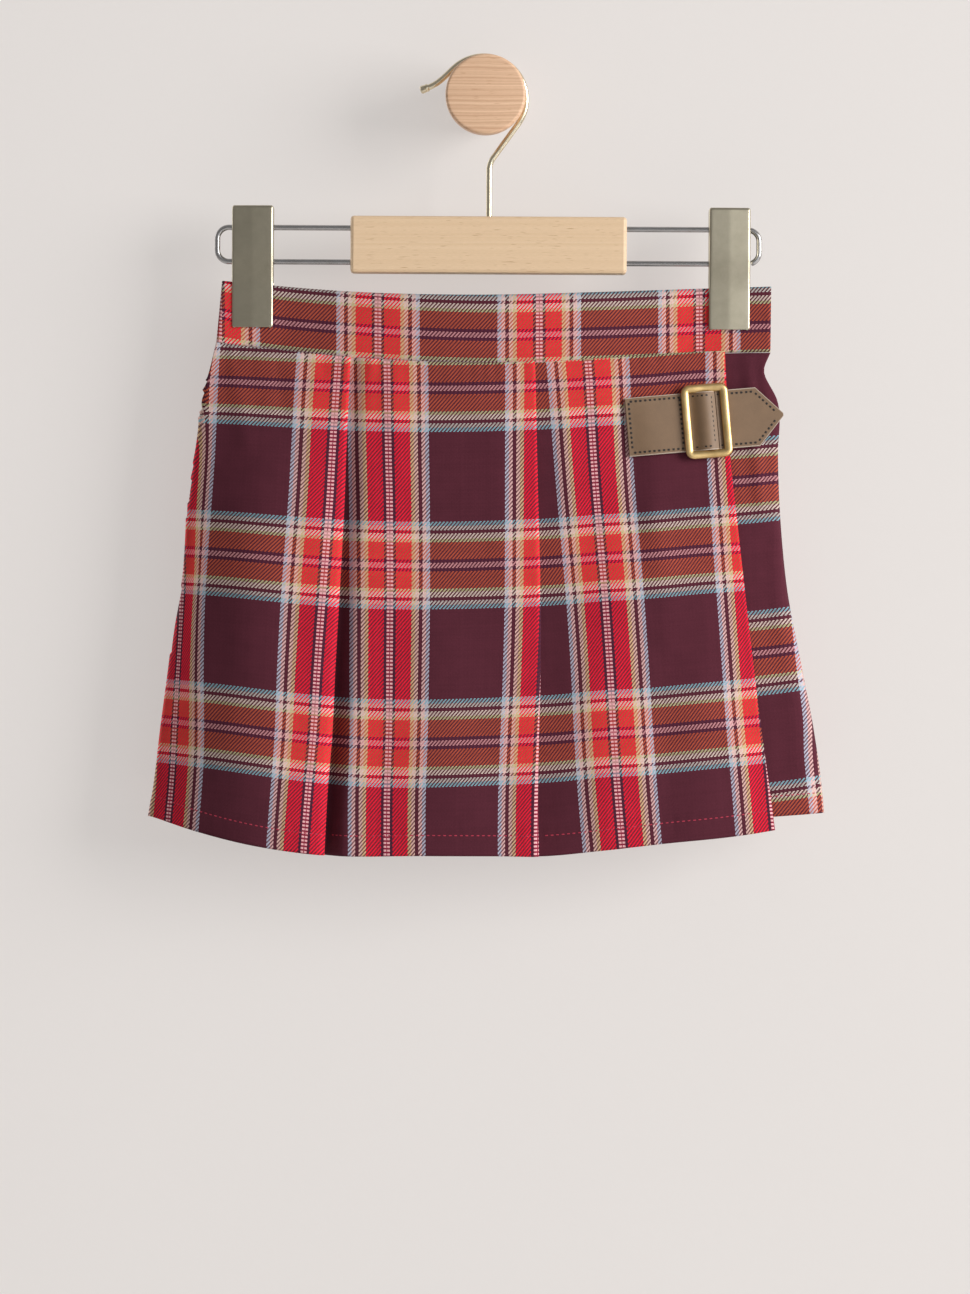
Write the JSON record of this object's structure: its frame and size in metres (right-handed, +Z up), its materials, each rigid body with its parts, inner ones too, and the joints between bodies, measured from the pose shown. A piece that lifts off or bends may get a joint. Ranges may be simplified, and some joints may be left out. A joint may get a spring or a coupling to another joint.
{
  "type": "tartan skort on a clip hanger and wall peg",
  "caption": "Child's tartan skort, pleated apron over shorts with a side strap and slide buckle, clipped to a wooden bar hanger on a round wall peg.",
  "frame": {"origin": "centre of the peg's flat back face, where it meets the wall", "axes": "+Z up, +X to the right seen from the front, -Y out of the wall towards the front"},
  "size_m": [0.3378, 0.0576, 0.4009],
  "materials": {
    "tartan": "brushed cotton twill tartan, matt",
    "leather": "taupe grained leather with stitching",
    "antique_brass": "antique brass, worn bright on the edges",
    "beech": "waxed beech with short flecks",
    "peg_wood": "oiled pale wood, fine straight grain",
    "satin_nickel": "satin nickel plate",
    "steel_wire": "bright steel wire",
    "gilt_wire": "pale champagne gilt wire"
  },
  "bodies": {
    "root": {"waistband_front": "tartan", "waistband_back": "tartan", "apron": "tartan", "shorts_front_left": "tartan", "shorts_front_right": "tartan", "shorts_back_left": "tartan", "shorts_back_right": "tartan", "strap_anchor": "leather", "strap_tip": "leather", "buckle_frame": "antique_brass", "buckle_pin": "antique_brass", "hanger_bar": "beech", "rail_wire": "steel_wire", "hook": "gilt_wire", "peg": "peg_wood", "clip_left_front": "satin_nickel", "clip_left_back": "satin_nickel", "clip_left_spring": "steel_wire", "clip_right_front": "satin_nickel", "clip_right_back": "satin_nickel", "clip_right_spring": "steel_wire"}
  },
  "joints": []
}
